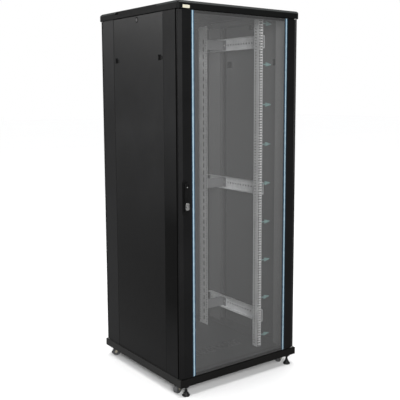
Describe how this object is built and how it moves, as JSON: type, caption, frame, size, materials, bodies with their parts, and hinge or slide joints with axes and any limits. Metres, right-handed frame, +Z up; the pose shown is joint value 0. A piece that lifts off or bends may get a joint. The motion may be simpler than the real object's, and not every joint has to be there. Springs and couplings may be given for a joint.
{
  "type": "network server rack cabinet",
  "caption": "Floor-standing server rack cabinet with a glass front door, steel rear door, lift-off side panels, square-hole rails, casters and levelling feet.",
  "frame": {"origin": "on the floor, under the middle of the cabinet", "axes": "+Z up, the glass front door faces -Y, +X to the right of someone facing the front door"},
  "size_m": [0.8, 0.839, 2],
  "materials": {
    "plinth_black": "fine powder coat, black",
    "frame_black": "fine powder coat, black",
    "roof_black": "fine powder coat, black",
    "panel_black": "fine powder coat, black",
    "door_black": "satin black paint",
    "rear_door_black": "fine powder coat, black",
    "zinc_plate": "zinc-plated sheet",
    "rail_zinc": "zinc-plated sheet",
    "bracket_zinc": "blue zinc-plated sheet",
    "bolt_zinc": "bright zinc",
    "hook_plastic": "moulded, pale teal grey",
    "badge_blank": "blank cream plate",
    "caster_zinc": "yellow zinc-plated",
    "caster_tread": "hard rubber tread on a grey wheel",
    "foot_black": "moulded pad on a black stem",
    "door_glass": "toughened, slightly smoked",
    "line_blue": "light blue strip with dark edges",
    "handle_black": "die-cast, black coated",
    "lock_steel": "zinc-plated steel",
    "lock_chrome": "satin chrome",
    "latch_black": "moulded black",
    "panel_lock_grey": "dark lock barrel"
  },
  "bodies": {
    "frame": {"base_cross_beams": "plinth_black", "base_side_beams": "plinth_black", "bottom_panel": "frame_black", "front_left_post": "frame_black", "front_right_post": "frame_black", "rear_left_post": "frame_black", "rear_right_post": "frame_black", "top_cross_beams": "frame_black", "top_side_beams": "frame_black", "cable_covers": "frame_black", "base_gussets": "zinc_plate", "left_side_beams": "zinc_plate", "right_side_beams": "zinc_plate", "roof_cover": "roof_black", "front_left_rail": "rail_zinc", "front_right_rail": "rail_zinc", "rear_left_rail": "rail_zinc", "rear_right_rail": "rail_zinc", "rail_brackets": "bracket_zinc", "cable_hooks": "hook_plastic", "badge_plate": "badge_blank", "frame_bolts": "bolt_zinc", "hinge_pins": "bolt_zinc", "caster_plates": "caster_zinc", "foot_lock_nuts": "foot_black"},
    "front_door": {"front_door_left_strip": "door_black", "front_door_right_strip": "door_black", "front_door_crossbars": "door_black", "front_door_glass": "door_glass", "front_door_lines": "line_blue", "front_handle_base": "handle_black"},
    "front_handle_hub": {"front_handle_spindle": "handle_black"},
    "front_lever": {"front_handle_lever": "handle_black", "front_lock_bezel": "lock_chrome"},
    "front_key": {"front_key_cylinder": "lock_chrome"},
    "upper_rod": {"front_upper_rod": "lock_steel"},
    "lower_rod": {"front_lower_rod": "lock_steel"},
    "rear_door": {"rear_door_panel": "rear_door_black", "rear_handle_base": "handle_black"},
    "rear_lever": {"rear_handle_lever": "handle_black"},
    "left_panel": {"left_side_panel": "panel_black"},
    "right_panel": {"right_side_panel": "panel_black"},
    "left_front_latch": {"left_front_latch": "latch_black"},
    "left_rear_latch": {"left_rear_latch": "latch_black"},
    "left_panel_lock": {"left_panel_lock": "panel_lock_grey"},
    "right_front_latch": {"right_front_latch": "latch_black"},
    "right_rear_latch": {"right_rear_latch": "latch_black"},
    "right_panel_lock": {"right_panel_lock": "panel_lock_grey"},
    "swivel_front_left": {"caster_fork_front_left": "caster_zinc"},
    "wheel_front_left": {"caster_wheel_front_left": "caster_tread"},
    "foot_front_left": {"foot_front_left": "foot_black"},
    "swivel_front_right": {"caster_fork_front_right": "caster_zinc"},
    "wheel_front_right": {"caster_wheel_front_right": "caster_tread"},
    "foot_front_right": {"foot_front_right": "foot_black"},
    "swivel_rear_left": {"caster_fork_rear_left": "caster_zinc"},
    "wheel_rear_left": {"caster_wheel_rear_left": "caster_tread"},
    "foot_rear_left": {"foot_rear_left": "foot_black"},
    "swivel_rear_right": {"caster_fork_rear_right": "caster_zinc"},
    "wheel_rear_right": {"caster_wheel_rear_right": "caster_tread"},
    "foot_rear_right": {"foot_rear_right": "foot_black"}
  },
  "joints": [
    {"name": "front_door_hinge", "type": "hinge", "parent": "frame", "child": "front_door", "pos_m": [0.382, -0.382, 1.03], "axis": [0, 0, 1], "range_deg": [0, 130]},
    {"name": "front_handle_turn", "type": "hinge", "parent": "front_door", "child": "front_handle_hub", "pos_m": [-0.361, -0.4, 1.103], "axis": [0, -1, 0], "range_deg": [0, 90]},
    {"name": "front_lever_lift", "type": "hinge", "parent": "front_handle_hub", "child": "front_lever", "pos_m": [-0.361, -0.409, 1.103], "axis": [-1, 0, 0], "range_deg": [0, 25]},
    {"name": "front_key_turn", "type": "hinge", "parent": "front_lever", "child": "front_key", "pos_m": [-0.361, -0.41, 0.997], "axis": [0, -1, 0], "range_deg": [0, 90]},
    {"name": "upper_rod_slide", "type": "slide", "parent": "front_door", "child": "upper_rod", "axis": [0, 0, -1], "range_m": [0, 0.012]},
    {"name": "lower_rod_slide", "type": "slide", "parent": "front_door", "child": "lower_rod", "axis": [0, 0, 1], "range_m": [0, 0.012]},
    {"name": "rear_door_hinge", "type": "hinge", "parent": "frame", "child": "rear_door", "pos_m": [-0.384, 0.384, 1.03], "axis": [0, 0, 1], "range_deg": [0, 130]},
    {"name": "rear_handle_turn", "type": "hinge", "parent": "rear_door", "child": "rear_lever", "pos_m": [0.35, 0.4, 1.103], "axis": [0, 1, 0], "range_deg": [0, 90]},
    {"name": "left_panel_lift_off", "type": "slide", "parent": "frame", "child": "left_panel", "axis": [-1, 0, 0], "range_m": [0, 0.1]},
    {"name": "right_panel_lift_off", "type": "slide", "parent": "frame", "child": "right_panel", "axis": [1, 0, 0], "range_m": [0, 0.1]},
    {"name": "left_front_latch_slide", "type": "slide", "parent": "left_panel", "child": "left_front_latch", "axis": [0, 1, 0], "range_m": [0, 0.008], "stiffness_N_per_m": 150, "springref_m": -0.006},
    {"name": "left_rear_latch_slide", "type": "slide", "parent": "left_panel", "child": "left_rear_latch", "axis": [0, -1, 0], "range_m": [0, 0.008], "stiffness_N_per_m": 150, "springref_m": -0.006},
    {"name": "left_panel_lock_turn", "type": "hinge", "parent": "left_panel", "child": "left_panel_lock", "pos_m": [-0.394, -0.006, 1.937], "axis": [1, 0, 0], "range_deg": [0, 90]},
    {"name": "right_front_latch_slide", "type": "slide", "parent": "right_panel", "child": "right_front_latch", "axis": [0, 1, 0], "range_m": [0, 0.008], "stiffness_N_per_m": 150, "springref_m": -0.006},
    {"name": "right_rear_latch_slide", "type": "slide", "parent": "right_panel", "child": "right_rear_latch", "axis": [0, -1, 0], "range_m": [0, 0.008], "stiffness_N_per_m": 150, "springref_m": -0.006},
    {"name": "right_panel_lock_turn", "type": "hinge", "parent": "right_panel", "child": "right_panel_lock", "pos_m": [0.394, -0.006, 1.937], "axis": [1, 0, 0], "range_deg": [0, 90]},
    {"name": "swivel_front_left", "type": "hinge", "parent": "frame", "child": "swivel_front_left", "pos_m": [-0.352, -0.322, 0.05], "axis": [0, 0, 1], "continuous": true},
    {"name": "roll_front_left", "type": "hinge", "parent": "swivel_front_left", "child": "wheel_front_left", "pos_m": [-0.37102, -0.32818, 0.026], "axis": [-0.309, 0.9511, 0], "continuous": true},
    {"name": "level_front_left", "type": "slide", "parent": "frame", "child": "foot_front_left", "axis": [0, 0, 1], "range_m": [-0.02, 0]},
    {"name": "swivel_front_right", "type": "hinge", "parent": "frame", "child": "swivel_front_right", "pos_m": [0.352, -0.322, 0.05], "axis": [0, 0, 1], "continuous": true},
    {"name": "roll_front_right", "type": "hinge", "parent": "swivel_front_right", "child": "wheel_front_right", "pos_m": [0.33402, -0.33077, 0.026], "axis": [-0.4384, 0.8988, 0], "continuous": true},
    {"name": "level_front_right", "type": "slide", "parent": "frame", "child": "foot_front_right", "axis": [0, 0, 1], "range_m": [-0.02, 0]},
    {"name": "swivel_rear_left", "type": "hinge", "parent": "frame", "child": "swivel_rear_left", "pos_m": [-0.352, 0.322, 0.05], "axis": [0, 0, 1], "continuous": true},
    {"name": "roll_rear_left", "type": "hinge", "parent": "swivel_rear_left", "child": "wheel_rear_left", "pos_m": [-0.36732, 0.33486, 0.026], "axis": [0.6428, 0.766, 0], "continuous": true},
    {"name": "level_rear_left", "type": "slide", "parent": "frame", "child": "foot_rear_left", "axis": [0, 0, 1], "range_m": [-0.02, 0]},
    {"name": "swivel_rear_right", "type": "hinge", "parent": "frame", "child": "swivel_rear_right", "pos_m": [0.352, 0.322, 0.05], "axis": [0, 0, 1], "continuous": true},
    {"name": "roll_rear_right", "type": "hinge", "parent": "swivel_rear_right", "child": "wheel_rear_right", "pos_m": [0.35884, 0.34079, 0.026], "axis": [0.9397, -0.342, 0], "continuous": true},
    {"name": "level_rear_right", "type": "slide", "parent": "frame", "child": "foot_rear_right", "axis": [0, 0, 1], "range_m": [-0.02, 0]}
  ],
  "couplings": [
    {"joint": "upper_rod_slide", "follows": "front_handle_turn", "m_per_rad": 0.0076394},
    {"joint": "lower_rod_slide", "follows": "front_handle_turn", "m_per_rad": 0.0076394}
  ]
}
